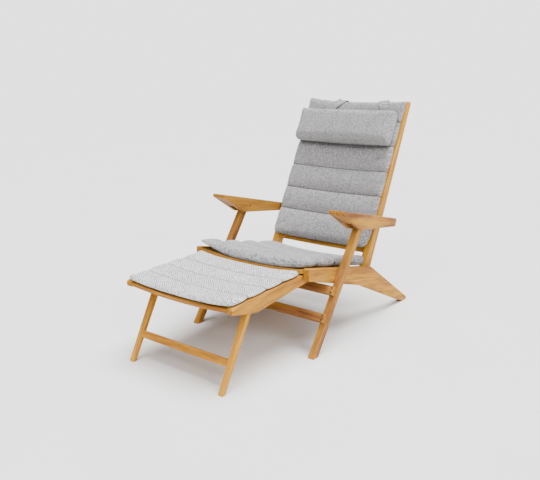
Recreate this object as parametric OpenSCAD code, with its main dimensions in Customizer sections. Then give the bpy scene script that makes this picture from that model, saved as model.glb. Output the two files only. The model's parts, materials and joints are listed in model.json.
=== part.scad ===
// Folding deck chair with footrest: teak frame, slatted panels and loose cushions.
// +X is the sitter's left, -Y is the front, +Z is up. The floor is z = 0.

/* [Widths, across the chair] */
// Width over the outer faces of the armrests
overall_w = 650; // [640:1:690]
// Width of an armrest
arm_w = 67; // [64:1:67]
// How far an armrest stands out past the front leg
arm_overhang = 16; // [14:1:17]
// Thickness of the seat rails, front legs and back stiles
board_t = 27; // [24:1:28]
// Thickness of the footrest's rails and legs
foot_board_t = 22; // [20:1:24]
// Gap between two boards that swing past each other
swing_gap = 1; // [0.6:0.1:1.4]

/* [Seat frame] */
// Height of the seat rails at the front
seat_h = 346; // [344:1:348]
// Fall of the seat towards the back, in degrees
seat_slope = 11.85; // [11.6:0.05:12.1]
// Depth of a seat rail at its front end
rail_front_d = 46; // [42:1:48]
// Number of slats in the seat
seat_slats = 8; // [6:1:8]
// Distance from the first slat's front edge to the last slat's rear edge
seat_slatted_l = 372; // [340:1:376]

/* [Back] */
// Lean of the back's front face from the horizontal, in degrees
back_angle = 63.25; // [62.8:0.05:63.6]
// Number of slats in the back
back_slats = 16; // [12:1:16]
// Length of the back's slatted part
back_slatted_l = 674; // [640:1:676]

/* [Front legs] */
// Depth of a front leg at the floor, along the chair
leg_foot_d = 33.5; // [30:0.5:35]
// Depth of a front leg at its top, square to the leg
leg_top_d = 33; // [31:0.5:34]
// Height of the two bars across the front legs
bar_h = 35; // [30:1:38]
// Thickness of those bars
bar_t = 22; // [18:1:24]

/* [Footrest] */
// Number of slats in the footrest
foot_slats = 8; // [6:1:8]
// Length of the footrest's slatted part
foot_slatted_l = 378; // [350:1:380]

/* [Slats and cushions] */
// Thickness of a slat in the seat and the back
slat_t = 15; // [12:0.5:15.5]
// Thickness of a slat in the footrest
foot_slat_t = 14; // [12:0.5:14.5]
// Gap between neighbouring slats
slat_gap = 7; // [5:0.5:12]
// How far the slats dip in the middle of the seat
dish = 14; // [8:1:15]
// Thickness of the seat cushion
seat_cushion_t = 30; // [20:1:32]
// Thickness of the back cushion
back_cushion_t = 25; // [18:1:28]
// Thickness of the footrest cushion
foot_cushion_t = 16; // [12:1:20]
// Width of the cushions
cushion_w = 490; // [470:1:496]
// Width of the headrest pillow
pillow_w = 476; // [440:1:496]
// Length of the pillow up the back
pillow_l = 151; // [120:1:156]
// Thickness of the pillow
pillow_t = 56; // [46:1:64]

/* [Fasteners] */
// Radius of the pivot bolts and pins
bolt_r = 4; // [3.5:0.1:4.5]
// Radial clearance of a bolt in the board that turns on it
running_gap = 0.06; // [0.03:0.01:0.1]
// Radial clearance where the armrest closes the folding linkage
closing_gap = 0.3; // [0.2:0.05:0.5]

/* [Hidden] */

TEAK = [0.80, 0.62, 0.38];
FABRIC = [0.72, 0.71, 0.70];
STEEL = [0.62, 0.60, 0.57];

// Faces of the boards, counted outwards from the chair's middle plane
arm_x1 = overall_w / 2;
arm_x0 = arm_x1 - arm_w;
leg_x1 = arm_x1 - arm_overhang;
leg_x0 = leg_x1 - board_t;
rail_x1 = leg_x0 - swing_gap;
rail_x0 = rail_x1 - board_t;
stile_x1 = rail_x0 - swing_gap;
stile_x0 = stile_x1 - board_t;
foot_rail_x1 = rail_x0 - swing_gap;
foot_rail_x0 = foot_rail_x1 - foot_board_t;
foot_leg_x1 = foot_rail_x0 - swing_gap;
foot_leg_x0 = foot_leg_x1 - foot_board_t;

// Pivots in the side view, as [y, z]. The first four are the corners of a parallelogram.
leg_pivot = [-3, 270];
arm_front_pivot = [122, 467];
arm_rear_pivot = [382, 424];
back_pivot = leg_pivot + arm_rear_pivot - arm_front_pivot;
footrest_pivot = [-181, 301];
foot_leg_pivot = [-480, 270];

// Seat panel: its front top edge, and where the rails bend down to the floor
seat_front = [-207, seat_h];
rail_bend_y = 266;
rail_tail_slope = 32.6;
rail_bend = along(seat_front, -seat_slope, (rail_bend_y - seat_front.x) / cos(seat_slope));
rail_tip = [rail_bend.x + rail_bend.y / tan(rail_tail_slope), 0];
rail_heel = [592, 0];
rail_belly = [180, 185];
rail_nose_r = 5;
rail_bend_r = 90;
rail_belly_r = 160;
rail_tip_r = 8.5;
rail_heel_r = 12;

// Back panel: foot of its front face, and the stiles' taper
back_foot = [286.5, 298];
stile_rear_angle = 65.3;
stile_rear_foot = [340.5, 298];
stile_l = 694;
stile_top_drop = 20;
stile_top_r = 6;
// The stile's lower end, round the pivot: the front edge runs down past the seat
stile_hip_drop = 60;
stile_lug = [c(back_pivot + [-19, 8], 10), c(back_pivot + [-17, -20], 14), c(back_pivot + [38, -24], 20)];

// Front legs: centre of the foot, lean and length
leg_foot = [-196, 0];
leg_angle = 55.3;
leg_l = norm(arm_front_pivot - leg_foot) + 15;
leg_toe_r = 2;
leg_heel_r = 8;
leg_top_r = 13;
leg_front_foot = leg_foot - [leg_foot_d / 2, 0];
leg_front_top = beside(leg_foot, leg_angle, leg_l, leg_top_d / 2);
leg_front_angle = atan2(leg_front_top.y, leg_front_top.x - leg_front_foot.x);
// How far up the legs' front face the two bars reach, and where their ends stop
bar_tops = [289, 177];
bar_end_x = leg_x1 - 4;
bar_edge_r = 3;

// Armrests in the side view: blunt tip, rear end and lowest point
arm_tip = [-51, 539];
arm_heel = [394, 438];
arm_elbow = [81, 444];
arm_slope = atan2(arm_heel.y - arm_tip.y, arm_heel.x - arm_tip.x);
arm_heel_under = arm_heel + [-11, -33];
arm_tip_under = arm_tip + [1, -14.5];
arm_end_r = 5;
arm_elbow_r = 12;
// The slot for the leg's top reaches this far either way from the pivot
slot_reach = 92;
slot_roof = 22;
slot_depth = 120;

// Footrest panel
foot_front = [-604, 304.5];
foot_slope = 2;
foot_belly = [-478, 254];
foot_belly_r = 150;
// Behind the shoulder the rail drops to a round end about its pivot
foot_shoulder = along(foot_front, foot_slope, 385);
foot_shoulder_r = 60;
foot_rail_end_r = 15;
foot_rail_front_d = 23.5;
foot_rail_front_r = 10;
foot_leg_toe_r = 2;
foot_leg_heel_r = 4;
foot_leg_top_r = 10;
foot_bar_edge_r = 2;
foot_leg_foot = [-624.8, 0];
foot_leg_angle = atan2(foot_leg_pivot.y, foot_leg_pivot.x - foot_leg_foot.x);
foot_leg_l = norm(foot_leg_pivot - foot_leg_foot) + 11;
foot_leg_top_d = 23;
foot_leg_foot_d = 15;
foot_leg_front_foot = foot_leg_foot - [foot_leg_foot_d / 2, 0];
foot_leg_front_top = beside(foot_leg_foot, foot_leg_angle, foot_leg_l, foot_leg_top_d / 2);
foot_leg_front_angle = atan2(foot_leg_front_top.y, foot_leg_front_top.x - foot_leg_front_foot.x);
foot_bar_top = 124;
foot_bar_h = 27;
foot_bar_t = 19;

// Slats lie this far below the boards' edges
slat_inset = 5;
foot_slat_inset = 7;
foot_dish = 11;
foot_slat_setback = 4;
cushion_lift = 0.5;
seat_cushion_l = 470;
foot_cushion_l = 388;
back_cushion_start = 14;
back_cushion_end = 686;
// The back and footrest cushions lie on the boards' edges, this far above their slats' recess
back_cushion_rise = 2;
foot_cushion_rise = 1.5;
pillow_start = 468;
pillow_round = 22;
strap_w = 46;
strap_t = 2.5;
strap_tail = 120;
// Middle of each strap at the pillow and at the top of the back
strap_places = [[-150, -73], [178, 140]];

// Bolts
head_r = 7;
head_t = 3.5;
head_gap = 0.4;
bolt_bite = 20;
screw_r = 2;
screw_head_r = 4;
screw_head_t = 3;
screw_bite = 20;
screw_spread = 9;
slot_side_gap = 1;
pin_reach = 10;

$fn = 64;

// ---- Helpers ----

// The point at distance d from p, in direction a
function along(p, a, d) = p + d * [cos(a), sin(a)];

// The point at distance d from p in direction a, then e to the left of that direction
function beside(p, a, d, e) = along(along(p, a, d), a + 90, e);

function unit(v) = v / norm(v);

// One corner [y, z, radius] of an outline, as an arc between its two sides
function corner(before, at, after, steps = 6) =
    at.z == 0 ? [[at.x, at.y]] :
    let (
        p = [at.x, at.y],
        u = unit([before.x, before.y] - p),
        v = unit([after.x, after.y] - p),
        half = acos(u * v) / 2,
        mid = p + unit(u + v) * at.z / sin(half),
        from = p + u * at.z / tan(half) - mid,
        to = p + v * at.z / tan(half) - mid,
        start = atan2(from.y, from.x),
        turn = (atan2(to.y, to.x) - start + 900) % 360 - 180
    )
    [for (i = [0:steps]) along(mid, start + turn * i / steps, at.z)];

function rounded(corners) =
    let (n = len(corners))
    [for (i = [0:n - 1]) each corner(corners[(i + n - 1) % n], corners[i], corners[(i + 1) % n])];

// A corner with its radius
function c(p, r) = [p.x, p.y, r];

// A board from x0 to x1 whose side view is the outline
module board(outline, x0, x1) {
    translate([x0, 0, 0])
        rotate([90, 0, 90])
            linear_extrude(x1 - x0)
                polygon(outline);
}

// A rod across the chair from x0 to x1, at p in the side view
module rod(p, r, x0, x1) {
    translate([x0, p.x, p.y])
        rotate([0, 90, 0])
            cylinder(r = r, h = x1 - x0);
}

// The right-hand piece is the left-hand one mirrored
module on_side(side) {
    mirror([side == "left" ? 0 : 1, 0, 0])
        children();
}

module both_sides() {
    for (side = ["left", "right"])
        on_side(side)
            children();
}

// Moves a panel's own frame into place: +Y along the panel, +Z out of its face
module on_panel(p, a) {
    translate([0, p.x, p.y])
        rotate([a, 0, 0])
            children();
}

// A sheet of width w between z0 and z1 that dips by sag in the middle
module dished(w, y0, y1, z0, z1, sag, steps = 16) {
    xs = [for (i = [0:steps]) w * (i / steps - 0.5)];
    function dip(x) = -sag * (1 - pow(2 * x / w, 2));
    top = [for (x = xs) [x, z1 + dip(x)]];
    under = [for (i = [steps:-1:0]) [xs[i], z0 + dip(xs[i])]];
    translate([0, y1, 0])
        rotate([90, 0, 0])
            linear_extrude(y1 - y0)
                polygon(concat(under, top));
}

// Slat number i of n, evenly spread over the length l
module slat(i, n, l, w, inset, t, sag) {
    pitch = (l + slat_gap) / n;
    y0 = (i - 1) * pitch;
    color(TEAK)
        dished(w, y0, y0 + pitch - slat_gap, -inset - t, -inset, sag);
}

// A cushion that follows the dish of its slats
module cushion(y0, y1, w, t, inset, sag) {
    color(FABRIC)
        dished(w, y0, y1, cushion_lift - inset, cushion_lift - inset + t, sag);
}

// ---- Seat frame ----

module seat_rail(side) {
    outline = rounded([
        c(seat_front, rail_nose_r),
        c(rail_bend, rail_bend_r),
        c(rail_tip, rail_tip_r),
        c(rail_heel, rail_heel_r),
        c(rail_belly, rail_belly_r),
        c(seat_front - [0, rail_front_d], rail_nose_r)]);
    color(TEAK)
        on_side(side)
            difference() {
                board(outline, rail_x0, rail_x1);
                rod(leg_pivot, bolt_r, rail_x0 - 1, rail_x1 + 1);
                rod(back_pivot, bolt_r, rail_x0 - 1, rail_x0 + bolt_bite);
                rod(footrest_pivot, bolt_r, rail_x0 - 1, rail_x0 + bolt_bite);
            }
}

module seat_slat(i) {
    on_panel(seat_front, -seat_slope)
        slat(i, seat_slats, seat_slatted_l, 2 * rail_x0, slat_inset, slat_t, dish);
}

module seat_cushion() {
    on_panel(seat_front, -seat_slope)
        cushion(0, seat_cushion_l, cushion_w, seat_cushion_t, slat_inset, dish);
}

// Bolt from x0, where its head ends, out to x1
module pivot_bolt(p, x0, x1) {
    color(STEEL)
        both_sides() {
            rod(p, head_r, x0 - head_t, x0);
            rod(p, bolt_r, x0, x1);
        }
}

module leg_pivot_bolts() {
    pivot_bolt(leg_pivot, rail_x0, leg_x0 + bolt_bite);
}

module back_pivot_bolts() {
    pivot_bolt(back_pivot, stile_x0 - head_gap, rail_x0 + bolt_bite);
}

module footrest_pivot_bolts() {
    pivot_bolt(footrest_pivot, foot_rail_x0 - head_gap, rail_x0 + bolt_bite);
}

// ---- Back ----

module back_stile(side) {
    outline = rounded([
        c(along(back_foot, back_angle, -stile_hip_drop), stile_top_r),
        each stile_lug,
        c(stile_rear_foot, 0),
        c(along(stile_rear_foot, stile_rear_angle, stile_l - stile_top_drop), stile_top_r),
        c(along(back_foot, back_angle, stile_l), stile_top_r)]);
    color(TEAK)
        on_side(side)
            difference() {
                board(outline, stile_x0, stile_x1);
                rod(back_pivot, bolt_r + running_gap, stile_x0 - 1, stile_x1 + 1);
                rod(arm_rear_pivot, bolt_r, stile_x0 - 1, stile_x1 + 1);
            }
}

module back_slat(i) {
    on_panel(back_foot, back_angle)
        slat(i, back_slats, back_slatted_l, 2 * stile_x0, slat_inset, slat_t, dish);
}

module back_cushion() {
    on_panel(back_foot, back_angle)
        cushion(back_cushion_start, back_cushion_end, cushion_w, back_cushion_t, -back_cushion_rise, dish);
}

module headrest_pillow() {
    z0 = back_cushion_rise + back_cushion_t + 2 * cushion_lift;
    outline = rounded([
        [pillow_start, z0, pillow_round],
        [pillow_start + pillow_l, z0, pillow_round],
        [pillow_start + pillow_l, z0 + pillow_t, pillow_round],
        [pillow_start, z0 + pillow_t, pillow_round]]);
    color(FABRIC)
        on_panel(back_foot, back_angle)
            board(outline, -pillow_w / 2, pillow_w / 2);
}

module pillow_strap(low_x, high_x) {
    front_z = back_cushion_rise + back_cushion_t + 2 * cushion_lift;
    rear_z = -slat_inset - slat_t - dish - cushion_lift;
    top_y = back_cushion_end + cushion_lift;
    low_y = pillow_start + pillow_l + cushion_lift;
    half = strap_w / 2;
    translate([0, 0, front_z])
        linear_extrude(strap_t)
            polygon([
                [low_x - half, low_y],
                [low_x + half, low_y],
                [high_x + half, top_y + strap_t],
                [high_x - half, top_y + strap_t]]);
    translate([high_x - half, top_y, rear_z - strap_t])
        cube([strap_w, strap_t, front_z - rear_z + 2 * strap_t]);
    translate([high_x - half, top_y - strap_tail, rear_z - strap_t])
        cube([strap_w, strap_tail + strap_t, strap_t]);
}

module pillow_straps() {
    color(FABRIC)
        on_panel(back_foot, back_angle)
            for (place = strap_places)
                pillow_strap(place[0], place[1]);
}

module armrest_rear_bolts() {
    pivot_bolt(arm_rear_pivot, stile_x0, arm_x0 + bolt_bite);
}

// ---- Front legs ----

module front_leg(side) {
    outline = rounded([
        c(leg_front_foot, leg_toe_r),
        c(leg_foot + [leg_foot_d / 2, 0], leg_heel_r),
        c(beside(leg_foot, leg_angle, leg_l, -leg_top_d / 2), leg_top_r),
        c(leg_front_top, leg_top_r)]);
    color(TEAK)
        on_side(side)
            difference() {
                board(outline, leg_x0, leg_x1);
                rod(leg_pivot, bolt_r + running_gap, leg_x0 - 1, leg_x0 + bolt_bite + 1);
                rod(arm_front_pivot, bolt_r, leg_x0 - 1, leg_x1 + 1);
                for (top = bar_tops)
                    bar_screw_places(top)
                        translate([0, 0, -screw_bite])
                            cylinder(r = screw_r, h = screw_bite + 1);
            }
}

// Places on the legs' front face where a bar's screws stand, for the left leg
module bar_screw_places(top) {
    for (step = [-1, 1])
        on_panel(leg_front_foot, leg_front_angle)
            translate([(leg_x0 + leg_x1) / 2, top - bar_h / 2 + step * screw_spread, 0])
                children();
}

module leg_bar(top) {
    outline = rounded([
        [top, 0, 0],
        [top, bar_t, bar_edge_r],
        [top - bar_h, bar_t, bar_edge_r],
        [top - bar_h, 0, 0]]);
    color(TEAK)
        difference() {
            on_panel(leg_front_foot, leg_front_angle)
                board(outline, -bar_end_x, bar_end_x);
            both_sides()
                bar_screw_places(top) {
                    translate([0, 0, -1])
                        cylinder(r = screw_r, h = bar_t + 2);
                    translate([0, 0, bar_t - screw_head_t])
                        cylinder(r = screw_head_r, h = screw_head_t + 1);
                }
        }
}

module leg_bar_upper() {
    leg_bar(bar_tops[0]);
}

module leg_bar_lower() {
    leg_bar(bar_tops[1]);
}

module bar_screws() {
    color(STEEL)
        for (top = bar_tops)
            both_sides()
                bar_screw_places(top) {
                    translate([0, 0, -screw_bite])
                        cylinder(r = screw_r, h = screw_bite + bar_t - screw_head_t);
                    translate([0, 0, bar_t - screw_head_t])
                        cylinder(r = screw_head_r, h = screw_head_t);
                }
}

module armrest_front_pins() {
    color(STEEL)
        both_sides()
            rod(arm_front_pivot, bolt_r, leg_x0 - pin_reach, leg_x1 + pin_reach);
}

// ---- Armrests ----

module armrest(side) {
    outline = rounded([
        c(arm_tip, arm_end_r),
        c(arm_heel, arm_end_r),
        c(arm_heel_under, arm_end_r),
        c(arm_elbow, arm_elbow_r),
        c(arm_tip_under, arm_end_r)]);
    slot_w = leg_x1 - leg_x0 + 2 * slot_side_gap;
    color(TEAK)
        on_side(side)
            difference() {
                board(outline, arm_x0, arm_x1);
                on_panel(arm_front_pivot, arm_slope)
                    translate([leg_x0 - slot_side_gap, -slot_reach, slot_roof - slot_depth])
                        cube([slot_w, 2 * slot_reach, slot_depth]);
                rod(arm_front_pivot, bolt_r + running_gap, arm_x0 - 1, leg_x1 + pin_reach + 1);
                rod(arm_rear_pivot, bolt_r + closing_gap, arm_x0 - 1, arm_x0 + bolt_bite + 1);
            }
}

// ---- Footrest ----

module footrest_rail(side) {
    outline = rounded([
        c(foot_front, foot_rail_front_r),
        c(foot_shoulder, foot_shoulder_r),
        c(footrest_pivot + [foot_rail_end_r, foot_rail_end_r], foot_rail_end_r - 0.01),
        c(footrest_pivot + [foot_rail_end_r, -foot_rail_end_r], foot_rail_end_r - 0.01),
        c(foot_belly, foot_belly_r),
        c(foot_front - [0, foot_rail_front_d], foot_rail_front_r)]);
    color(TEAK)
        on_side(side)
            difference() {
                board(outline, foot_rail_x0, foot_rail_x1);
                rod(footrest_pivot, bolt_r + running_gap, foot_rail_x0 - 1, foot_rail_x1 + 1);
                rod(foot_leg_pivot, bolt_r, foot_rail_x0 - 1, foot_rail_x0 + bolt_bite);
            }
}

module footrest_slat(i) {
    on_panel(foot_front, foot_slope)
        translate([0, foot_slat_setback, 0])
            slat(i, foot_slats, foot_slatted_l, 2 * foot_rail_x0, foot_slat_inset, foot_slat_t, foot_dish);
}

module footrest_cushion() {
    on_panel(foot_front, foot_slope)
        cushion(0, foot_cushion_l, cushion_w, foot_cushion_t, -foot_cushion_rise, foot_dish);
}

module footrest_leg_bolts() {
    pivot_bolt(foot_leg_pivot, foot_leg_x0 - head_gap, foot_rail_x0 + bolt_bite);
}

module footrest_leg(side) {
    outline = rounded([
        c(foot_leg_front_foot, foot_leg_toe_r),
        c(foot_leg_foot + [foot_leg_foot_d / 2, 0], foot_leg_heel_r),
        c(beside(foot_leg_foot, foot_leg_angle, foot_leg_l, -foot_leg_top_d / 2), foot_leg_top_r),
        c(foot_leg_front_top, foot_leg_top_r)]);
    color(TEAK)
        on_side(side)
            difference() {
                board(outline, foot_leg_x0, foot_leg_x1);
                rod(foot_leg_pivot, bolt_r + running_gap, foot_leg_x0 - 1, foot_leg_x1 + 1);
            }
}

module footrest_leg_bar() {
    outline = rounded([
        [foot_bar_top, 0, foot_bar_edge_r],
        [foot_bar_top, -foot_bar_t, foot_bar_edge_r],
        [foot_bar_top - foot_bar_h, -foot_bar_t, foot_bar_edge_r],
        [foot_bar_top - foot_bar_h, 0, foot_bar_edge_r]]);
    color(TEAK)
        on_panel(foot_leg_front_foot, foot_leg_front_angle)
            board(outline, -foot_leg_x0, foot_leg_x0);
}

// ---- One line for each node ----

seat_rail("left");  // seat_rail_left
seat_rail("right");  // seat_rail_right
for (i = [1:seat_slats])
    seat_slat(i);
seat_cushion();
leg_pivot_bolts();
back_pivot_bolts();
footrest_pivot_bolts();
back_stile("left");  // back_stile_left
back_stile("right");  // back_stile_right
for (i = [1:back_slats])
    back_slat(i);
back_cushion();
headrest_pillow();
pillow_straps();
armrest_rear_bolts();
front_leg("left");  // front_leg_left
front_leg("right");  // front_leg_right
leg_bar_upper();
leg_bar_lower();
bar_screws();
armrest_front_pins();
armrest("left");  // armrest_left
armrest("right");  // armrest_right
footrest_rail("left");  // footrest_rail_left
footrest_rail("right");  // footrest_rail_right
for (i = [1:foot_slats])
    footrest_slat(i);
footrest_cushion();
footrest_leg_bolts();
footrest_leg("left");  // footrest_leg_left
footrest_leg("right");  // footrest_leg_right
footrest_leg_bar();
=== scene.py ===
import json
import math

import bmesh
import bpy
import numpy as np
from mathutils import Matrix, Vector
from mathutils.bvhtree import BVHTree


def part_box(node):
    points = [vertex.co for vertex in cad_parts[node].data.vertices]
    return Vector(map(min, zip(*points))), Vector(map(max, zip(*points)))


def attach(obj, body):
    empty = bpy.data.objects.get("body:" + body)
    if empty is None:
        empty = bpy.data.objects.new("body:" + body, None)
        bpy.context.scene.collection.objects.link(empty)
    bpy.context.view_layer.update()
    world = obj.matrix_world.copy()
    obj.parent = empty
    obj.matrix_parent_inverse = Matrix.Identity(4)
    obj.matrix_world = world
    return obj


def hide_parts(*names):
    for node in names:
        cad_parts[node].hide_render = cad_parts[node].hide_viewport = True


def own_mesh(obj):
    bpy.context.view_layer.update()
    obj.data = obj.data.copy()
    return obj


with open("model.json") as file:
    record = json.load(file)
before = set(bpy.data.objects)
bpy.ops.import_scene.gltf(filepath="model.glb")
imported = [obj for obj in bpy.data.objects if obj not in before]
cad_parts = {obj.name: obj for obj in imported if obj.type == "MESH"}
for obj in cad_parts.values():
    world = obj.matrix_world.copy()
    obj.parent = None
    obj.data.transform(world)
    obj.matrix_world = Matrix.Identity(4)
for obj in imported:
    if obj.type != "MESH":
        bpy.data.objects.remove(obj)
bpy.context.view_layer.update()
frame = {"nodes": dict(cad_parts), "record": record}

MM = 0.001
BODIES = frame["record"]["behaviour"]["bodies"]
BODY_OF = {node: body for body, nodes in BODIES.items() for node in nodes}


# ---- Camera, light and floor ----

def add_camera():
    data = bpy.data.cameras.new("camera")
    data.sensor_width = 36
    data.lens = 41.86
    data.shift_x = 0.0048
    data.shift_y = 0.0203
    camera = bpy.data.objects.new("camera", data)
    camera.location = (1.483, -2.021, 1.003)
    camera.rotation_euler = (math.radians(90 - 15.131), 0, math.radians(37.524))
    bpy.context.scene.collection.objects.link(camera)
    bpy.context.scene.camera = camera


def add_sun(name, towards, spread, strength):
    """A wide, soft light from the direction towards."""
    data = bpy.data.lights.new(name, "SUN")
    data.angle = math.radians(spread)
    data.energy = strength
    light = bpy.data.objects.new(name, data)
    light.rotation_euler = Vector(towards).to_track_quat("Z", "Y").to_euler()
    bpy.context.scene.collection.objects.link(light)


def add_world(fill, backdrop):
    """Even white fill light, and a brighter plain backdrop behind the object."""
    world = bpy.data.worlds.new("studio")
    world.use_nodes = True
    tree = world.node_tree
    background = tree.nodes["Background"]
    background.inputs["Color"].default_value = (1, 1, 1, 1)
    background.inputs["Strength"].default_value = fill
    behind = tree.nodes.new("ShaderNodeBackground")
    behind.inputs["Strength"].default_value = backdrop
    behind.inputs["Color"].default_value = (1, 1, 1, 1)
    path = tree.nodes.new("ShaderNodeLightPath")
    mix = tree.nodes.new("ShaderNodeMixShader")
    tree.links.new(path.outputs["Is Camera Ray"], mix.inputs[0])
    tree.links.new(background.outputs[0], mix.inputs[1])
    tree.links.new(behind.outputs[0], mix.inputs[2])
    tree.links.new(mix.outputs[0], tree.nodes["World Output"].inputs["Surface"])
    bpy.context.scene.world = world


def add_floor(material):
    bpy.ops.mesh.primitive_plane_add(size=60, location=(0, 0, 0))
    floor = bpy.context.object
    floor.name = "floor"
    floor.data.materials.append(material)


# ---- Materials ----

class Nodes:
    """Short names for building a node tree."""

    def __init__(self, name):
        self.material = bpy.data.materials.new(name)
        self.material.use_nodes = True
        self.tree = self.material.node_tree
        self.shader = self.tree.nodes["Principled BSDF"]

    def link(self, output, socket):
        self.tree.links.new(output, socket)

    def put(self, socket, value):
        if isinstance(value, bpy.types.NodeSocket):
            self.link(value, socket)
        else:
            socket.default_value = value

    def node(self, kind, **settings):
        made = self.tree.nodes.new(kind)
        for key, value in settings.items():
            setattr(made, key, value)
        return made

    def math(self, operation, a, b=0.0, c=0.0, clamp=False):
        made = self.node("ShaderNodeMath", operation=operation, use_clamp=clamp)
        for socket, value in zip(made.inputs, (a, b, c)):
            self.put(socket, value)
        return made.outputs[0]

    def split(self, vector):
        made = self.node("ShaderNodeSeparateXYZ")
        self.link(vector, made.inputs[0])
        return made.outputs

    def join(self, x, y, z):
        made = self.node("ShaderNodeCombineXYZ")
        for socket, value in zip(made.inputs, (x, y, z)):
            self.put(socket, value)
        return made.outputs[0]

    def noise(self, vector, scale, detail=2.0, roughness=0.5, distortion=0.0):
        made = self.node("ShaderNodeTexNoise")
        self.link(vector, made.inputs["Vector"])
        made.inputs["Scale"].default_value = scale
        made.inputs["Detail"].default_value = detail
        made.inputs["Roughness"].default_value = roughness
        made.inputs["Distortion"].default_value = distortion
        return made.outputs["Fac"]

    def ramp(self, value, *stops):
        """A smooth ramp between (position, value) stops, grey or colour."""
        made = self.node("ShaderNodeValToRGB")
        self.link(value, made.inputs[0])
        points = made.color_ramp.elements
        while len(points) < len(stops):
            points.new(0.5)
        for point, (place, shade) in zip(points, stops):
            point.position = place
            point.color = (*shade, 1) if isinstance(shade, tuple) else (shade, shade, shade, 1)
        return made.outputs["Color"]

    def mix(self, share, a, b, blend="MIX"):
        made = self.node("ShaderNodeMix", data_type="RGBA", blend_type=blend)
        self.put(made.inputs[0], share)
        for socket, value in ((made.inputs[6], a), (made.inputs[7], b)):
            self.put(socket, (*value, 1) if isinstance(value, tuple) else value)
        return made.outputs[2]

    def bump(self, height, distance, strength=1.0):
        made = self.node("ShaderNodeBump")
        made.inputs["Strength"].default_value = strength
        made.inputs["Distance"].default_value = distance
        self.link(height, made.inputs["Height"])
        self.link(made.outputs[0], self.shader.inputs["Normal"])


TEAK_TONES = ((0.32, (0.255, 0.098, 0.008)), (0.49, (0.395, 0.170, 0.014)), (0.64, (0.575, 0.290, 0.030)))
TEAK_END_TONES = ((0.35, (0.200, 0.082, 0.008)), (0.65, (0.400, 0.180, 0.020)))
TEAK_STREAK = (0.170, 0.062, 0.008)
TEAK_PORE = (0.105, 0.038, 0.008)
TEAK_CLOUD = (0.270, 0.108, 0.011)
TEAK_GLOW = (0.660, 0.340, 0.025)


def teak():
    """Oiled teak. An object's colour holds three numbers for it: the grain's slope in the side view as a
    share of a half turn, whether the grain runs along X, and how light the board is."""
    n = Nodes("teak")
    info = n.node("ShaderNodeObjectInfo")
    slope, across, seed = n.split(info.outputs["Color"])
    place = n.node("ShaderNodeTexCoord")

    def along_grain(vector):
        turned = n.node("ShaderNodeVectorRotate", rotation_type="X_AXIS")
        n.link(vector, turned.inputs["Vector"])
        n.link(n.math("MULTIPLY", slope, -math.pi), turned.inputs["Angle"])
        x, y, z = n.split(turned.outputs[0])
        upright = n.math("SUBTRACT", 1.0, across)
        lengthways = n.math("ADD", n.math("MULTIPLY", across, x), n.math("MULTIPLY", upright, y))
        sideways = n.math("ADD", n.math("MULTIPLY", across, y), n.math("MULTIPLY", upright, x))
        return lengthways, sideways, z

    length, side, depth = along_grain(place.outputs["Object"])
    own = n.math("MULTIPLY", seed, 37.0)
    spot = n.join(n.math("ADD", length, own), n.math("ADD", side, own), n.math("ADD", depth, own))

    def stretched(x, y, z):
        made = n.node("ShaderNodeVectorMath", operation="MULTIPLY")
        n.link(spot, made.inputs[0])
        made.inputs[1].default_value = (x, y, z)
        return made.outputs[0]

    wander = n.noise(stretched(3, 22, 22), 1.0, 3)
    bands = n.noise(stretched(5, 85, 85), 1.0, 4, 0.6, 0.8)
    streaks = n.noise(stretched(13, 300, 300), 1.0, 4, 0.65)
    pores = n.noise(stretched(38, 1300, 1300), 1.0, 2, 0.5)
    cloudy = n.noise(stretched(5, 9, 9), 1.0, 2)
    tone = n.ramp(bands, *TEAK_TONES)
    # Darker boards show more figure, and are less warm
    figure = n.math("MULTIPLY_ADD", seed, -0.75, 1.20, clamp=True)
    tone = n.mix(n.math("MULTIPLY", n.ramp(streaks, (0.42, 0.0), (0.60, 0.95)), figure), tone, TEAK_STREAK)
    tone = n.mix(n.math("MULTIPLY", n.ramp(pores, (0.54, 0.0), (0.68, 0.85)), figure), tone, TEAK_PORE)
    tone = n.mix(n.ramp(cloudy, (0.35, 0.35), (0.65, 0.0)), tone, TEAK_CLOUD)
    redder = n.math("MULTIPLY_ADD", seed, 0.80, 0.46)
    yellower = n.math("MULTIPLY_ADD", seed, 0.86, 0.40)
    greyer = n.math("MULTIPLY_ADD", n.math("SUBTRACT", 0.6, seed, clamp=True), 2.0, 1.4)
    tone = n.mix(1.0, tone, n.join(redder, yellower, greyer), "MULTIPLY")
    tone = n.mix(n.ramp(wander, (0.42, 0.0), (0.68, 0.50)), tone, TEAK_GLOW)
    # End grain: darker, with fine rings
    facing_length, _, _ = along_grain(place.outputs["Normal"])
    end = n.ramp(n.math("ABSOLUTE", facing_length), (0.70, 0.0), (0.88, 1.0))
    rings = n.noise(stretched(4, 260, 90), 1.0, 3)
    tone = n.mix(end, tone, n.ramp(rings, *TEAK_END_TONES))
    n.link(tone, n.shader.inputs["Base Color"])
    gloss = n.math("MULTIPLY_ADD", streaks, 0.25, 0.38)
    n.link(n.math("MULTIPLY_ADD", end, 0.15, gloss), n.shader.inputs["Roughness"])
    n.shader.inputs["Specular IOR Level"].default_value = 0.08
    pits = n.math("MULTIPLY", n.ramp(pores, (0.55, 0.0), (0.72, 1.0)), 0.7)
    n.bump(n.math("SUBTRACT", n.math("MULTIPLY", streaks, 0.5), pits), 0.4 * MM, 0.5)
    return n.material


FINE = (3.2 * MM, 3.2 * MM)


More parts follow.
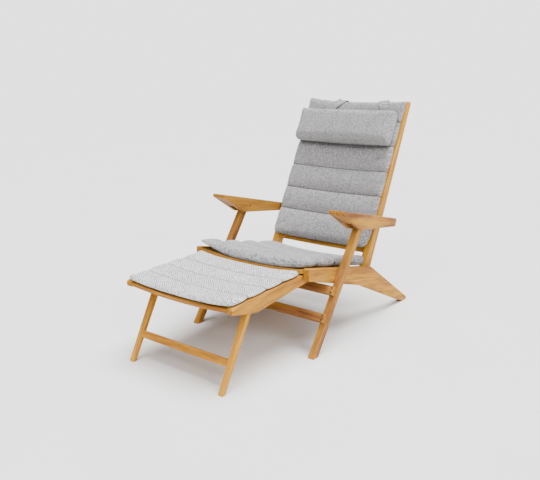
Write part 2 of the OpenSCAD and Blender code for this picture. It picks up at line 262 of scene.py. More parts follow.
def woven(name, panel, seams, light, dark, seam_shade=0.8, regular=0.25, painted_light=0.0, thread=FINE):
    """Woven outdoor cloth laid along a panel: a coarse plain weave of two mottled greys, with painted shade
    along the seams.
    regular is the strength of the weave's own pattern, and thread its pitch across and along the panel."""
    n = Nodes(name)
    place = n.node("ShaderNodeTexCoord")
    turned = n.node("ShaderNodeVectorRotate", rotation_type="X_AXIS")
    n.link(place.outputs["Object"], turned.inputs["Vector"])
    turned.inputs["Center"].default_value = panel.origin
    turned.inputs["Angle"].default_value = -panel.slope
    x, y, z = n.split(turned.outputs[0])
    s = n.math("SUBTRACT", y, panel.origin.y)
    height = n.math("SUBTRACT", z, panel.origin.z)
    waver = n.math("MULTIPLY_ADD", n.noise(place.outputs["Object"], 12, 1), 0.8, -0.4)
    u = n.math("ADD", n.math("DIVIDE", n.math("ADD", x, height), thread[0]), waver)
    v = n.math("ADD", n.math("DIVIDE", n.math("ADD", s, height), thread[1]), waver)
    column, row = n.math("FLOOR", u), n.math("FLOOR", v)
    over = n.math("LESS_THAN", n.math("FLOORED_MODULO", n.math("ADD", column, row), 2.0), 0.5)
    warp = n.math("ABSOLUTE", n.math("SINE", n.math("MULTIPLY", u, math.pi)))
    weft = n.math("ABSOLUTE", n.math("SINE", n.math("MULTIPLY", v, math.pi)))
    under = n.math("SUBTRACT", 1.0, over)
    thread_height = n.math("ADD", n.math("MULTIPLY", over, warp), n.math("MULTIPLY", under, weft))
    yarn = n.node("ShaderNodeTexWhiteNoise", noise_dimensions="2D")
    n.link(n.join(column, row, 0.0), yarn.inputs["Vector"])
    slub = n.noise(n.join(n.math("MULTIPLY", u, 0.12), v, 0.0), 1.0, 2, 0.6)
    blotch = n.noise(place.outputs["Object"], 260, 2, 0.7)
    soiling = n.noise(place.outputs["Object"], 9, 2)
    # The weave's own pattern shows on the faces, and hardly on the cushion's edges
    facing = n.node("ShaderNodeVectorMath", operation="DOT_PRODUCT")
    n.link(place.outputs["Normal"], facing.inputs[0])
    facing.inputs[1].default_value = panel.normal()
    strength = n.ramp(n.math("ABSOLUTE", facing.outputs["Value"]), (0.55, 0.15 * regular), (0.9, regular))
    # Painted light: the lightening offset added here makes a cloth lighter all over, for a cushion top that
    # faces the overhead light
    shade = n.math("ADD", n.math("MULTIPLY", n.math("SUBTRACT", over, 0.5), strength), 0.28 + painted_light)
    shade = n.math("ADD", shade, n.math("MULTIPLY_ADD", yarn.outputs["Value"], 0.62, -0.165))
    shade = n.math("ADD", shade, n.math("MULTIPLY_ADD", slub, 0.2, -0.10))
    shade = n.math("ADD", shade, n.math("MULTIPLY_ADD", blotch, 0.2, -0.10))
    shade = n.math("MULTIPLY", shade, n.math("MULTIPLY_ADD", thread_height, 0.45, 0.62), clamp=True)
    tone = n.mix(shade, dark, light)
    tone = n.mix(n.ramp(soiling, (0.40, 0.12), (0.70, 0.0)), tone, dark)
    # Painted shade: the cloth darkens towards each seam, for the shade in the seam's crease
    if seams:
        nearest = None
        for seam in seams:
            away = n.math("ABSOLUTE", n.math("SUBTRACT", s, seam))
            nearest = away if nearest is None else n.math("MINIMUM", nearest, away)
        groove = n.math("DIVIDE", nearest, 5 * MM)
        depth = n.ramp(groove, (0.12, seam_shade), (0.45, 0.22 * seam_shade), (1.0, 0.0))
        tone = n.mix(depth, tone, tuple(0.3 * c for c in dark))
    n.link(tone, n.shader.inputs["Base Color"])
    n.shader.inputs["Roughness"].default_value = 0.92
    n.shader.inputs["Specular IOR Level"].default_value = 0.2
    n.shader.inputs["Sheen Weight"].default_value = 0.2
    n.shader.inputs["Sheen Roughness"].default_value = 0.5
    n.bump(n.math("ADD", thread_height, n.math("MULTIPLY", yarn.outputs["Value"], 0.5)), 0.8 * MM, 0.6)
    return n.material


def thread_cotton(name, colour):
    n = Nodes(name)
    place = n.node("ShaderNodeTexCoord")
    fuzz = n.noise(place.outputs["Object"], 2500, 2)
    n.link(n.mix(fuzz, tuple(0.75 * c for c in colour), colour), n.shader.inputs["Base Color"])
    n.shader.inputs["Roughness"].default_value = 0.85
    return n.material


def bolt_steel_painted_dark():
    n = Nodes("steel")
    place = n.node("ShaderNodeTexCoord")
    smear = n.noise(place.outputs["Object"], 160, 3)
    scratch = n.noise(place.outputs["Object"], 900, 2)
    # Painted shade: the steel is near black, for the shade in the recessed screw holes
    tone = n.ramp(smear, (0.35, (0.030, 0.026, 0.022)), (0.65, (0.085, 0.075, 0.065)))
    n.link(tone, n.shader.inputs["Base Color"])
    n.link(n.math("MULTIPLY_ADD", scratch, 0.3, 0.28), n.shader.inputs["Roughness"])
    n.shader.inputs["Metallic"].default_value = 1.0
    n.bump(scratch, 0.1 * MM, 0.4)
    return n.material


def wooden_plug():
    """Teak plugs over the armrests' bolts."""
    n = Nodes("teak_plug")
    place = n.node("ShaderNodeTexCoord")
    grain = n.noise(place.outputs["Object"], 420, 3)
    tone = n.ramp(grain, (0.35, (0.220, 0.090, 0.009)), (0.65, (0.400, 0.180, 0.018)))
    n.link(tone, n.shader.inputs["Base Color"])
    n.shader.inputs["Roughness"].default_value = 0.55
    n.shader.inputs["Specular IOR Level"].default_value = 0.15
    n.bump(grain, 0.2 * MM, 0.4)
    return n.material


def pale_floor():
    n = Nodes("floor")
    place = n.node("ShaderNodeTexCoord")
    mottle = n.noise(place.outputs["Object"], 1.5, 3)
    n.link(n.ramp(mottle, (0.3, 0.72), (0.7, 0.75)), n.shader.inputs["Base Color"])
    n.shader.inputs["Roughness"].default_value = 0.8
    return n.material


# ---- Panels: the planes that the slats lie in ----

def middle(node):
    low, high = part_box(node)
    return (low + high) / 2


class Panel:
    """A slatted panel's own frame: x across the chair, s along the panel, n out of its face."""

    def __init__(self, first, last, cushion):
        a, b = middle(first), middle(last)
        self.slope = math.atan2(b.z - a.z, b.y - a.y)
        self.turn = Matrix.Rotation(self.slope, 3, "X")
        self.origin = Vector((0, a.y, a.z))
        points = self.inward(self.points_of(cushion))
        self.half_w = points[:, 0].max()
        self.s0, self.s1 = points[:, 1].min(), points[:, 1].max()
        at_edge = points[np.abs(points[:, 0]) > 0.99 * self.half_w]
        self.edge_n = at_edge[:, 2].min()
        self.thickness = at_edge[:, 2].max() - self.edge_n
        self.sag = self.edge_n - points[:, 2].min()

    @staticmethod
    def points_of(node):
        return np.array([v.co for v in frame["nodes"][node].data.vertices])

    def inward(self, points):
        return (points - np.array(self.origin)) @ np.array(self.turn)

    def outward(self, points):
        return np.asarray(points) @ np.array(self.turn).T + np.array(self.origin)

    def normal(self):
        return self.turn @ Vector((0, 0, 1))

    def floor_n(self, x):
        """Height of the cushion's underside at x: it follows the dip of the slats."""
        return self.edge_n - self.sag * (1 - (x / self.half_w) ** 2)


# ---- Wood: every board gets softened edges and its own grain ----

def sharp_groups(bm, angle):
    """The sharp edges, grouped by how they connect."""
    sharp = {e for e in bm.edges if len(e.link_faces) == 2 and e.calc_face_angle(0) > angle}
    groups = []
    while sharp:
        stack = [sharp.pop()]
        group = []
        while stack:
            edge = stack.pop()
            group.append(edge)
            for vert in edge.verts:
                for other in vert.link_edges:
                    if other in sharp:
                        sharp.discard(other)
                        stack.append(other)
        groups.append(group)
    return groups


def span(edges):
    points = np.array([v.co for e in edges for v in e.verts])
    return float(np.max(points.max(0) - points.min(0)))


def new_object(name, mesh, *materials):
    made = bpy.data.objects.new(name, mesh)
    bpy.context.scene.collection.objects.link(made)
    for material in materials:
        mesh.materials.append(material)
    return made


def add_board(node, material, softening, slope, across, seed):
    """A copy of the CAD board with rounded edges, except round its bores."""
    bm = bmesh.new()
    bm.from_mesh(frame["nodes"][node].data)
    bmesh.ops.remove_doubles(bm, verts=bm.verts, dist=0.01 * MM)
    bmesh.ops.dissolve_limit(bm, angle_limit=math.radians(0.2), verts=bm.verts, edges=bm.edges)
    outer = [e for group in sharp_groups(bm, math.radians(28)) if span(group) > 14 * MM for e in group]
    bmesh.ops.bevel(
        bm, geom=outer, offset=softening, offset_type="OFFSET", segments=3, profile=0.5,
        affect="EDGES", clamp_overlap=True)
    for face in bm.faces:
        face.smooth = True
    mesh = bpy.data.meshes.new(node)
    bm.to_mesh(mesh)
    bm.free()
    board = new_object(f"{node}.wood", mesh, material)
    for edge in mesh.edges:
        edge.use_edge_sharp = False
    mesh.set_sharp_from_angle(angle=math.radians(35))
    shading = board.modifiers.new("shading", "WEIGHTED_NORMAL")
    shading.keep_sharp = True
    board.color = (slope / math.pi, across, seed, 1)
    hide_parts(node)
    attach(board, BODY_OF[node])


def long_axis_slope(node):
    """Slope in the side view of a board's longest direction."""
    points = Panel.points_of(node)[:, 1:]
    points = points - points.mean(0)
    _, _, axes = np.linalg.svd(points, full_matrices=False)
    y, z = axes[0]
    return math.atan2(z, y) % math.pi


def rail_slope(node):
    """The seat rail bends, so its grain follows its seat part."""
    points = Panel.points_of(node)
    low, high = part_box(node)
    front = points[points[:, 1] < low.y + 0.55 * (high.y - low.y)][:, 1:]
    front = front - front.mean(0)
    _, _, axes = np.linalg.svd(front, full_matrices=False)
    return math.atan2(axes[0][1], axes[0][0]) % math.pi


# How light each kind of board is, from 0 (brown) to 1 (golden). The leg bars' near-0 value is painted shade,
# for the shade under the seat.
LIGHTNESS = {
    "seat_rail": 0.62, "back_stile": 0.85, "front_leg": 0.32, "armrest": 0.36, "footrest_rail": 0.62,
    "footrest_leg": 0.90, "seat_slat": 0.55, "back_slat": 0.55, "footrest_slat": 0.70, "leg_bar": 0.02}


def add_boards(material, seat, back, foot):
    rng = np.random.default_rng(7)

    def board(node, softening, slope, across=0):
        kind = max((k for k in LIGHTNESS if node.startswith(k)), key=len)
        seed = max(0, LIGHTNESS[kind] + float(rng.uniform(-0.08, 0.08)))
        return add_board(node, material, softening * MM, slope, across, seed)

    for side in ("left", "right"):
        board(f"seat_rail_{side}", 2.5, rail_slope(f"seat_rail_{side}"))
        for name in ("back_stile", "front_leg", "armrest", "footrest_rail", "footrest_leg"):
            node = f"{name}_{side}"
            board(node, 2.2, long_axis_slope(node))
    for prefix, panel in (("seat", seat), ("back", back), ("footrest", foot)):
        for node in sorted(n for n in BODY_OF if n.startswith(f"{prefix}_slat_")):
            board(node, 1.8, panel.slope % math.pi, 1)
    for node in ("leg_bar_upper", "leg_bar_lower", "footrest_leg_bar"):
        board(node, 2.0, 0, 1)


# ---- Soft goods ----

def bulge(s, seams, power):
    """0 at each seam and 1 between seams."""
    seams = np.asarray(seams)
    k = np.clip(np.searchsorted(seams, s, side="right") - 1, 0, len(seams) - 2)
    share = np.clip((s - seams[k]) / (seams[k + 1] - seams[k]), 0, 1)
    return (4 * share * (1 - share)) ** power


def edge_round(distance, radius):
    inside = np.clip(distance / radius, 0, 1)
    return np.sqrt(np.clip(1 - (1 - inside) ** 2, 0, 1))


def rim_stations(low, high, radius, step):
    """Places from low to high: even steps, and closer ones where an edge rounds off."""
    turns = 1 - np.cos(np.linspace(0, math.pi / 2, 6))
    rim = radius * turns
    count = max(2, int(round((high - low - 2 * radius) / step)))
    inner = np.linspace(low + radius, high - radius, count + 1)[1:-1]
    return np.concatenate([low + rim, inner, high - rim[::-1]])


def stations_with_seams(low, high, radius, step, seams):
    """Rows along a cushion: a row on each seam with one close by on either side, and even steps between."""
    places = rim_stations(low, high, radius, step)
    close = 2.6 * MM
    for seam in seams:
        places = places[np.abs(places - seam) > 0.8 * step]
        places = np.concatenate([places, [seam - close, seam, seam + close]])
    return np.sort(places)


def cushion_grid(panel, seams, g):
    """Top and bottom of a channelled cushion, as points (x, s, n) on one grid, and its share of thickness."""
    t, s0, s1 = g["thickness"], g["s0"], g["s1"]
    rim = g["rim"]
    us = rim_stations(-1, 1, rim / panel.half_w, g["step"] / panel.half_w)
    u, s = np.meshgrid(us, stations_with_seams(s0, s1, rim, g["step"], seams))
    ends = s0 - 0.3 * (seams[0] - s0), s1 + 0.3 * (s1 - seams[-1])
    full = bulge(s, [ends[0], *seams, ends[1]], g["power"])
    half = g["half_w"] - g["pinch"] * (1 - full) ** 1.5
    for end, corner in ((s - s0, g["corners"][0]), (s1 - s, g["corners"][1])):
        near = np.clip(corner - end, 0, corner)
        half = half - (corner - np.sqrt(corner ** 2 - near ** 2))
    x = u * half
    edge = edge_round((1 - np.abs(u)) * half, rim) * edge_round(np.minimum(s - s0, s1 - s), rim)
    thin = g["thin"](x / g["half_w"], (s - s0) / (s1 - s0))
    thick = t * thin * (g["seam_share"] + (1 - g["seam_share"]) * full)
    base = panel.floor_n(x) + g["tuck"] * (1 - full) * smooth_step(0.86, 1, np.abs(u))
    thick = thick - 0.4 * g["tuck"] * (1 - full) * smooth_step(0.86, 1, np.abs(u))
    mid = base + 0.35 * t * thin
    top = mid + (base + thick - mid) * edge
    bottom = mid + (base - mid) * edge
    moved = g["shape"](x / g["half_w"], (s - s0) / (s1 - s0))
    x, s = x + moved[0], s + moved[1]
    top = np.stack([x, s, top + moved[2]], -1)
    bottom = np.stack([x, s, bottom + moved[2]], -1)
    return top, bottom, thin


def sew(top, bottom):
    """One closed mesh from two grids that share their border: its points, its faces and both grids' indices."""
    rows, columns = top.shape[:2]
    verts = list(top.reshape(-1, 3))
    index_top = np.arange(rows * columns).reshape(rows, columns)
    index_bottom = index_top.copy()
    for j in range(1, rows - 1):
        for i in range(1, columns - 1):
            index_bottom[j, i] = len(verts)
            verts.append(bottom[j, i])
    faces = []
    for j in range(rows - 1):
        for i in range(columns - 1):
            square = ((j, i), (j, i + 1), (j + 1, i + 1), (j + 1, i))
            faces.append(tuple(index_top[k] for k in square))
            faces.append(tuple(index_bottom[k] for k in (square[0], square[3], square[2], square[1])))
    return np.array(verts), [f for f in faces if len(set(f)) == 4], index_top, index_bottom


def mesh_from(name, points, faces):
    mesh = bpy.data.meshes.new(name)
    mesh.from_pydata([tuple(p) for p in points], [], [tuple(int(k) for k in f) for f in faces])
    mesh.update()
    return mesh


def inflate(piece, pinned, pressure, cap, frames=20):
    """Swells a closed mesh as cloth under pressure. pinned holds a share from 0 to 1 for each vertex."""
    rest = np.array([v.co for v in piece.data.vertices])
    group = piece.vertex_groups.new(name="pinned")
    for k in np.nonzero(pinned > 0)[0]:
        group.add([int(k)], float(pinned[k]), "REPLACE")
    cloth = piece.modifiers.new("cloth", "CLOTH")
    settings = cloth.settings
    settings.quality = 6
    settings.mass = 0.25
    settings.tension_stiffness = settings.compression_stiffness = 12
    settings.shear_stiffness = 6
    settings.bending_stiffness = 0.6
    settings.air_damping = 4
    settings.vertex_group_mass = "pinned"
    settings.use_pressure = True
    settings.uniform_pressure_force = pressure
    settings.effector_weights.gravity = 0
    cloth.point_cache.frame_start, cloth.point_cache.frame_end = 1, frames
    scene = bpy.context.scene
    for k in range(1, frames + 1):
        scene.frame_set(k)
    swollen = piece.evaluated_get(bpy.context.evaluated_depsgraph_get())
    moved = np.array([v.co for v in swollen.data.vertices])
    piece.modifiers.remove(cloth)
    piece.vertex_groups.clear()
    scene.frame_set(1)
    move = moved - rest
    length = np.linalg.norm(move, axis=1, keepdims=True)
    move *= np.tanh(length / cap) * cap / np.maximum(length, 1e-9)
    piece.data.vertices.foreach_set("co", (rest + move).astype(np.float32).ravel())
    piece.data.update()


def stitches(panel, surface, line, pitch=5.2 * MM, radius=0.55 * MM):
    """Short raised stitches along a line of (x, s) places, pressed onto the surface from above."""
    bm = bmesh.new()
    line = np.asarray(line)
    legs = np.linalg.norm(np.diff(line, axis=0), axis=1)
    reach = np.concatenate([[0], np.cumsum(legs)])
    normal = panel.normal()
    for start in np.arange(pitch, reach[-1] - pitch, pitch):
        ends = []
        for along in (start, start + 0.68 * pitch):
            x = np.interp(along, reach, line[:, 0])
            s = np.interp(along, reach, line[:, 1])
            above = Vector(panel.outward(np.array([[x, s, 0.2]]))[0])
            hit, _, _, _ = surface.ray_cast(above, -normal)
            if hit is None:
                break
            ends.append(hit + normal * radius * 0.4)
        if len(ends) < 2 or (ends[1] - ends[0]).length > 2 * pitch:
            continue
        turn = (ends[1] - ends[0]).to_track_quat("Z", "Y").to_matrix().to_4x4()
        place = Matrix.Translation((ends[0] + ends[1]) / 2) @ turn
        long = (ends[1] - ends[0]).length / 2 / radius
        bmesh.ops.create_icosphere(
            bm, subdivisions=1, radius=radius, matrix=place @ Matrix.Diagonal((1, 1, long, 1)))
    return bm


def add_to(piece, bm, slot_index):
    """Joins a bmesh to a piece's mesh, in the given material slot, and smooth."""
    whole = bmesh.new()
    whole.from_mesh(piece.data)
    extra = bpy.data.meshes.new("extra")
    for face in bm.faces:
        face.material_index = slot_index
        face.smooth = True
    bm.to_mesh(extra)
    whole.from_mesh(extra)
    whole.to_mesh(piece.data)
    whole.free()
    bpy.data.meshes.remove(extra)


def subdivided(piece, levels=1):
    """Applies a subdivision surface to the piece's mesh."""
    modifier = piece.modifiers.new("round", "SUBSURF")
    modifier.levels = modifier.render_levels = levels
    smooth = bpy.data.meshes.new_from_object(piece.evaluated_get(bpy.context.evaluated_depsgraph_get()))
    piece.modifiers.clear()
    old = piece.data
    piece.data = smooth
    bpy.data.meshes.remove(old)
    for face in smooth.polygons:
        face.use_smooth = True


def face_outwards(piece):
    bm = bmesh.new()
    bm.from_mesh(piece.data)
    bmesh.ops.recalc_face_normals(bm, faces=bm.faces)
    bm.to_mesh(piece.data)
    bm.free()


def surface_of(piece):
    bm = bmesh.new()
    bm.from_mesh(piece.data)
    tree = BVHTree.FromBMesh(bm)
    bm.free()
    return tree


def smooth_step(low, high, value):
    share = np.clip((value - low) / (high - low), 0, 1)
    return share * share * (3 - 2 * share)


def cord_along(path, radius, sides=6):
    """A closed tube along a loop of points, for the piping of a cushion."""
    bm = bmesh.new()
    path = [Vector(p) for p in path]
    rings = []
    for k, point in enumerate(path):
        ahead = (path[(k + 1) % len(path)] - path[k - 1]).normalized()
        side = ahead.cross(Vector((0.01, 0.02, 1))).normalized()
        up = side.cross(ahead)
        rings.append([
            bm.verts.new(point + radius * (side * math.cos(a) + up * math.sin(a)))
            for a in np.linspace(0, 2 * math.pi, sides + 1)[:-1]])
    for k, ring in enumerate(rings):
        after = rings[(k + 1) % len(rings)]
        for j in range(sides):
            bm.faces.new((ring[j], ring[(j + 1) % sides], after[(j + 1) % sides], after[j]))
    bmesh.ops.recalc_face_normals(bm, faces=bm.faces)
    return bm


def border(rows, columns):
    """Grid places along the border, once round."""
    return (
        [(0, i) for i in range(columns)] + [(j, columns - 1) for j in range(1, rows)]
        + [(rows - 1, i) for i in range(columns - 2, -1, -1)] + [(j, 0) for j in range(rows - 2, 0, -1)])


CLOTH_STEP = 6.5 * MM
CUSHION_PRESSURE = 3.0
PIPING_RADIUS = 1.7 * MM


def add_cushion(name, node, panel, seams, cloth, cotton, **given):
    """A channelled cushion on a slatted panel. Seams are distances along the panel."""
    g = dict(
        thickness=panel.thickness, s0=panel.s0, s1=panel.s1, half_w=panel.half_w,
        rim=11 * MM, step=CLOTH_STEP, corners=(20 * MM, 20 * MM), pinch=8 * MM, tuck=8 * MM,
        power=0.42, seam_share=0.5,
        shape=lambda u, v: (0 * u, 0 * u, 0 * u), thin=lambda u, v: 1 + 0 * u, cap=6 * MM)
    g.update(given)
    top, bottom, thin = cushion_grid(panel, seams, g)
    points, faces, index_top, index_bottom = sew(top, bottom)
    pinned = np.zeros(len(points))
    pinned[index_bottom[2:-2, 2:-2]] = 1
    pinned[index_top] = np.maximum(pinned[index_top], np.clip(1.8 * (1 - thin), 0, 1))
    across = stations_with_seams(g["s0"], g["s1"], g["rim"], g["step"], seams)
    for seam in seams:
        pinned[index_top[int(np.argmin(np.abs(across - seam))), 3:-3]] = 1
    piece = new_object(name, mesh_from(name, panel.outward(points), faces), cloth, cotton)
    inflate(piece, pinned, CUSHION_PRESSURE, g["cap"])
    rim = [piece.data.vertices[index_top[j, i]].co.copy() for j, i in border(*top.shape[:2])]
    subdivided(piece)
    surface = surface_of(piece)
    for seam in seams:
        half = g["half_w"] - g["pinch"] - 6 * MM
        add_to(piece, stitches(panel, surface, [(-half, seam), (half, seam)]), 1)
    add_to(piece, cord_along(rim, PIPING_RADIUS), 0)
    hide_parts(node)
    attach(piece, BODY_OF[node])
    return piece


def add_pillow(panel, cloth, cotton):
    """A boxed bolster: crisp edge above, rounder below, flat end panels with a piped seam."""
    points = panel.inward(Panel.points_of("headrest_pillow"))
    low, high = points.min(0), points.max(0)
    centre, half = (low + high) / 2, (high - low) / 2
    corners = ((1, 1, 14 * MM), (-1, 1, 26 * MM), (-1, -1, 18 * MM), (1, -1, 18 * MM))
    ring = []
    for (a, b, radius), start in zip(corners, np.arange(4) * math.pi / 2):
        for angle in np.linspace(start, start + math.pi / 2, 9):
            ring.append((
                a * (half[1] - radius) + radius * math.cos(angle),
                b * (half[2] - radius) + radius * math.sin(angle)))
    ring = even_loop(np.array(ring), 72)
    soft = 10 * MM
    rows = []
    for x in rim_stations(-half[0], half[0], soft, CLOTH_STEP):
        inward = soft * (1 - float(edge_round(np.array(half[0] - abs(x)), soft)))
        crown = 2.5 * MM * (1 - (x / half[0]) ** 2)
        row = []
        for across, out in ring:
            raised = crown * (1 - (across / half[1]) ** 2) if out > 0 else 0
            s = centre[1] + across * (1 - inward / half[1])
            row.append((x, s, centre[2] + out * (1 - inward / half[2]) + raised))
        rows.append(row)
    rows = np.array(rows)
    seam_rows = [3, len(rows) - 4]
    # Three smaller rings close each end panel
    for share in (0.75, 0.62, 0.62):
        for end in (0, -1):
            cap = rows[end]
            inner = cap.mean(0) + (cap - cap.mean(0)) * share
            rows = np.concatenate([[inner], rows] if end == 0 else [rows, [inner]])
    seam_rows = [k + 3 for k in seam_rows]
    count, around = rows.shape[:2]
    verts = list(rows.reshape(-1, 3))
    faces = []
    for j in range(count - 1):
        for i in range(around):
            a, b = j * around + i, j * around + (i + 1) % around
            faces.append((a, b, b + around, a + around))
    for j in (0, count - 1):
        hub = len(verts)
        verts.append(rows[j].mean(0))
        for i in range(around):
            a, b = j * around + i, j * around + (i + 1) % around
            faces.append((hub, b, a) if j == 0 else (hub, a, b))
    verts = np.array(verts)
    pinned = np.where(verts[:, 2] < low[2] + 0.25 * (high[2] - low[2]), 1.0, 0.0)
    mesh = mesh_from("pillow", panel.outward(verts), faces)
    piece = new_object("headrest_pillow.cloth", mesh, cloth, cotton)
    face_outwards(piece)
    inflate(piece, pinned, CUSHION_PRESSURE, 4 * MM)
    welts = [[piece.data.vertices[row * around + i].co.copy() for i in range(around)] for row in seam_rows]
    subdivided(piece)
    for welt in welts:
        add_to(piece, cord_along(welt, 1.6 * MM), 0)
    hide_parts("headrest_pillow")
    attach(piece, "back_frame")
    return piece


def add_straps(panel, pillow_node, cushion, cloth, binding_and_edge_shade):
    """Two hemmed straps from under the pillow, over the top of the back and down behind it."""
    points = panel.inward(Panel.points_of("pillow_straps"))
    pillow = panel.inward(Panel.points_of(pillow_node))
    surface = surface_of(cushion)
    thick, width, under_pillow = 2.2 * MM, 46 * MM, 12 * MM
    top_s, rear_n = points[:, 1].max(), points[:, 2].min()
    rear = points[points[:, 2] < rear_n + 1 * MM]
    tail_s = rear[:, 1].min()
    outermost = points[:, 2] > points[:, 2].max() - 4 * MM
    front = points[outermost & (points[:, 1] < pillow[:, 1].max() + 3 * MM)]
    pieces = []
    for side, name in ((-1, "right"), (1, "left")):
        low_x = front[front[:, 0] * side > 0][:, 0]
        high_x = rear[rear[:, 0] * side > 0][:, 0]
        low_x, high_x = (low_x.min() + low_x.max()) / 2, (high_x.min() + high_x.max()) / 2
        start_s = pillow[:, 1].max() - under_pillow
        run = []
        for s in np.linspace(start_s, top_s - 12 * MM, 14):
            x = low_x + (high_x - low_x) * (s - start_s) / (top_s - start_s)
            above = Vector(panel.outward(np.array([[x, s, 0.2]]))[0])
            hit, _, _, _ = surface.ray_cast(above, -panel.normal())
            n = float(panel.inward(np.array([hit]))[0, 2]) if hit else run[-1][2]
            run.append((x, s, n + thick))
        crest = run[-1][2]
        centre_n, reach = (crest + rear_n) / 2, (crest - rear_n) / 2
        turn = [
            (high_x, top_s - 5 * MM + 6 * MM * math.sin(a), centre_n + reach * math.cos(a))
            for a in np.linspace(0.35, math.pi - 0.2, 11)]
        down = [(high_x, s, rear_n) for s in np.linspace(top_s - 8 * MM, tail_s, 10)]
        path = np.array(run + turn + down)
        piece, flat = ribbon(f"pillow_strap_{name}.cloth", panel, path, width, thick, cloth, binding_and_edge_shade)
        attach(piece, "back_frame")
        pieces.append(piece)
    for piece in pieces:
        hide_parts("pillow_straps")
    return pieces


def ribbon(name, panel, path, width, thick, cloth, binding_and_edge_shade):
    """A flat strap along a path of (x, s, n) places, with a raised, bound edge on either side; the edges'
    near-black colour is partly painted shade.
    """
    steps = np.gradient(path, axis=0)
    across = np.array([1, 0, 0])
    section = [
        (-1, 0), (-0.96, 0.6), (-0.88, 0.5), (0, 0.5), (0.88, 0.5), (0.96, 0.6), (1, 0),
        (0.96, -0.5), (0.88, -0.5), (0, -0.5), (-0.88, -0.5), (-0.96, -0.5)]
    outer_strips = (0, 5, 6, 11)
    verts, faces = [], []
    for point, step in zip(path, steps):
        step = step / np.linalg.norm(step)
        side = across - step * (across @ step)
        side = side / np.linalg.norm(side)
        out = np.cross(side, step)
        for a, b in section:
            verts.append(point + side * a * width / 2 + out * b * thick)
    around = len(section)
    for j in range(len(path) - 1):
        for i in range(around):
            a, b = j * around + i, j * around + (i + 1) % around
            faces.append((a, b, b + around, a + around))
    faces.append(tuple(range(around))[::-1])
    faces.append(tuple(range((len(path) - 1) * around, len(path) * around)))
    piece = new_object(name, mesh_from(name, panel.outward(np.array(verts)), faces), cloth, binding_and_edge_shade)
    face_outwards(piece)
    for j in range(len(path) - 1):
        for i in outer_strips:
            piece.data.polygons[j * around + i].material_index = 1
    subdivided(piece)
    return piece, float(np.linalg.norm(np.diff(path, axis=0), axis=1).sum())


def even_loop(points, count):
    closed = np.concatenate([points, points[:1]])
    reach = np.concatenate([[0], np.cumsum(np.linalg.norm(np.diff(closed, axis=0), axis=1))])
    places = np.linspace(0, reach[-1], count + 1)[:-1]
    return np.stack([np.interp(places, reach, closed[:, k]) for k in range(2)], -1)


# ---- The scene ----

add_camera()
add_world(0.22, 2.6)
add_sun("overhead", (0.15, 0.15, 1.0), 45, 8.8)
add_sun("front", (0.20, -1.0, 0.90), 35, 1.8)
add_sun("right", (1.0, -0.50, 0.70), 35, 2.2)
add_floor(pale_floor())

seat = Panel("seat_slat_1", "seat_slat_8", "seat_cushion")
back = Panel("back_slat_1", "back_slat_16", "back_cushion")
foot = Panel("footrest_slat_1", "footrest_slat_8", "footrest_cushion")

add_boards(teak(), seat, back, foot)

LIGHT_YARN = (0.50, 0.490, 0.492)
DARK_YARN = (0.105, 0.102, 0.102)
# The seat's and footrest's cushions are of a coarser, more contrasting weave. The footrest's lighter yarn is
# partly painted light, for its top that faces the overhead light.
FOOT_YARN_PAINTED_LIT = (0.80, 0.79, 0.795)
SEAT_YARN = (0.56, 0.55, 0.552)
BLACK_YARN = (0.045, 0.043, 0.043)
COARSE = (4.4 * MM, 6.0 * MM)
cotton = thread_cotton("seam_thread", (0.20, 0.195, 0.19))


def along(panel, shares):
    return [panel.s0 + share * (panel.s1 - panel.s0) for share in shares]


def back_shape(u, v):
    """The far top corner stands up a little, and the near bottom corner curls forward."""
    up = smooth_step(0.45, 1, -u) * smooth_step(0.90, 1, v)
    curl = smooth_step(0.70, 1, u) * smooth_step(0.90, 1, 1 - v)
    return -3 * MM * up + -6 * MM * curl, 8 * MM * up, 2 * MM * up + 9 * MM * curl


def seat_shape(u, v):
    """The far front corner is lifted and points outwards; the front edge hangs over the first slat."""
    corner = smooth_step(0.35, 1, -u) * smooth_step(0.72, 1, 1 - v)
    front = smooth_step(0.92, 1, 1 - v)
    side = smooth_step(0.55, 1, np.abs(u))
    return -13 * MM * corner, -5 * MM * corner - 3 * MM * front, 20 * MM * corner + 4 * MM * side


def seat_thin(u, v):
    """The lifted corner has little filling left in it, and the rear near corner is the plumpest."""
    lifted = smooth_step(0.55, 1, -u) * smooth_step(0.78, 1, 1 - v)
    return 1 - 0.62 * lifted + 0.22 * smooth_step(0.6, 1, u) * smooth_step(0.75, 0.9, v)


def foot_shape(u, v):
    """The corners lift slightly."""
    corner = smooth_step(0.6, 1, np.abs(u)) * smooth_step(0.8, 1, np.abs(2 * v - 1))
    return 2 * MM * corner * np.sign(u), 0 * u, 3 * MM * corner


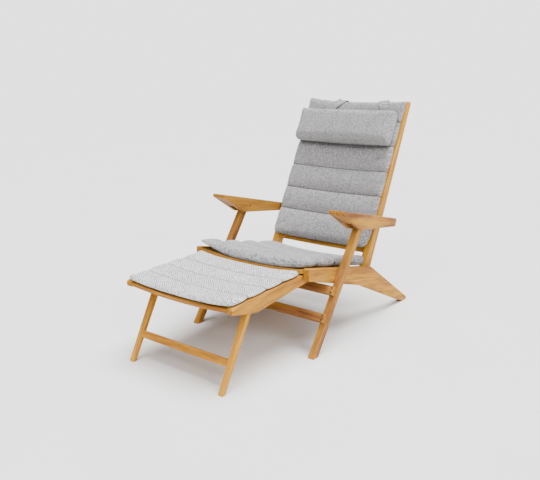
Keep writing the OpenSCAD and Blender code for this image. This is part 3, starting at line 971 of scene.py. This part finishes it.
# How far the back cushion's seams are from its lower end
BACK_SEAM_PLACES = (0.127, 0.232, 0.344, 0.461, 0.574)
back_seams = [back.s0 + place for place in BACK_SEAM_PLACES]
seat_seams = along(seat, (0.25, 0.50, 0.75))
foot_seams = along(foot, (0.24, 0.49, 0.74))
back_cloth = woven("back_cloth", back, back_seams, LIGHT_YARN, DARK_YARN)
pillow_cloth = woven("pillow_cloth", back, [], LIGHT_YARN, DARK_YARN)
seat_cloth = woven(
    "seat_cloth", seat, seat_seams, SEAT_YARN, BLACK_YARN, regular=0.9, painted_light=0.02, thread=COARSE)
# Painted light: the footrest's cloth gets lighter yarn and a lightening offset, for its top that faces the
# overhead light
foot_cloth = woven(
    "foot_cloth", foot, foot_seams, FOOT_YARN_PAINTED_LIT, BLACK_YARN,
    seam_shade=0.75, regular=0.9, painted_light=0.20, thread=COARSE)

back_piece = add_cushion(
    "back_cushion.cloth", "back_cushion", back, back_seams, back_cloth, cotton,
    half_w=back.half_w + 3 * MM, pinch=4 * MM, tuck=3 * MM, corners=(24 * MM, 9 * MM), shape=back_shape)
seat_piece = add_cushion(
    "seat_cushion.cloth", "seat_cushion", seat, seat_seams, seat_cloth, cotton,
    thickness=seat.thickness + 5 * MM, s1=seat.s1 + 14 * MM, half_w=seat.half_w + 3 * MM,
    pinch=15 * MM, tuck=13 * MM, rim=15 * MM, seam_share=0.42, shape=seat_shape, thin=seat_thin, cap=8 * MM)
add_cushion(
    "footrest_cushion.cloth", "footrest_cushion", foot, foot_seams, foot_cloth, cotton,
    pinch=7 * MM, tuck=4 * MM, rim=7 * MM, seam_share=0.66, shape=foot_shape, cap=4 * MM)
pillow_piece = add_pillow(back, pillow_cloth, cotton)
# The straps' near-black edge binding is partly painted shade, for the shadow lines along the strap's edges
binding_and_edge_shade = thread_cotton("binding_and_edge_shade", (0.075, 0.073, 0.072))
straps = add_straps(back, "headrest_pillow", back_piece, pillow_cloth, binding_and_edge_shade)


def press(piece, panel, level):
    anchor = panel.outward([[0, 0, level]])[0]
    tuple(panel.normal())
    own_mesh(piece)


press(seat_piece, seat, seat.edge_n)
press(back_piece, back, back.edge_n)
press(pillow_piece, back, back.edge_n)
strap_n = back.inward(Panel.points_of("pillow_straps"))[:, 2]
for strap in straps:
    press(strap, back, strap_n.min())

# The bolts' near-black steel is painted shade for the shaded screw holes
steel = bolt_steel_painted_dark()
plugs = wooden_plug()
PLUGGED = ("armrest_front_pins", "armrest_rear_bolts")
for node, piece in frame["nodes"].items():
    if node.endswith(("bolts", "pins", "screws")):
        piece.data.materials.clear()
        piece.data.materials.append(plugs if node in PLUGGED else steel)
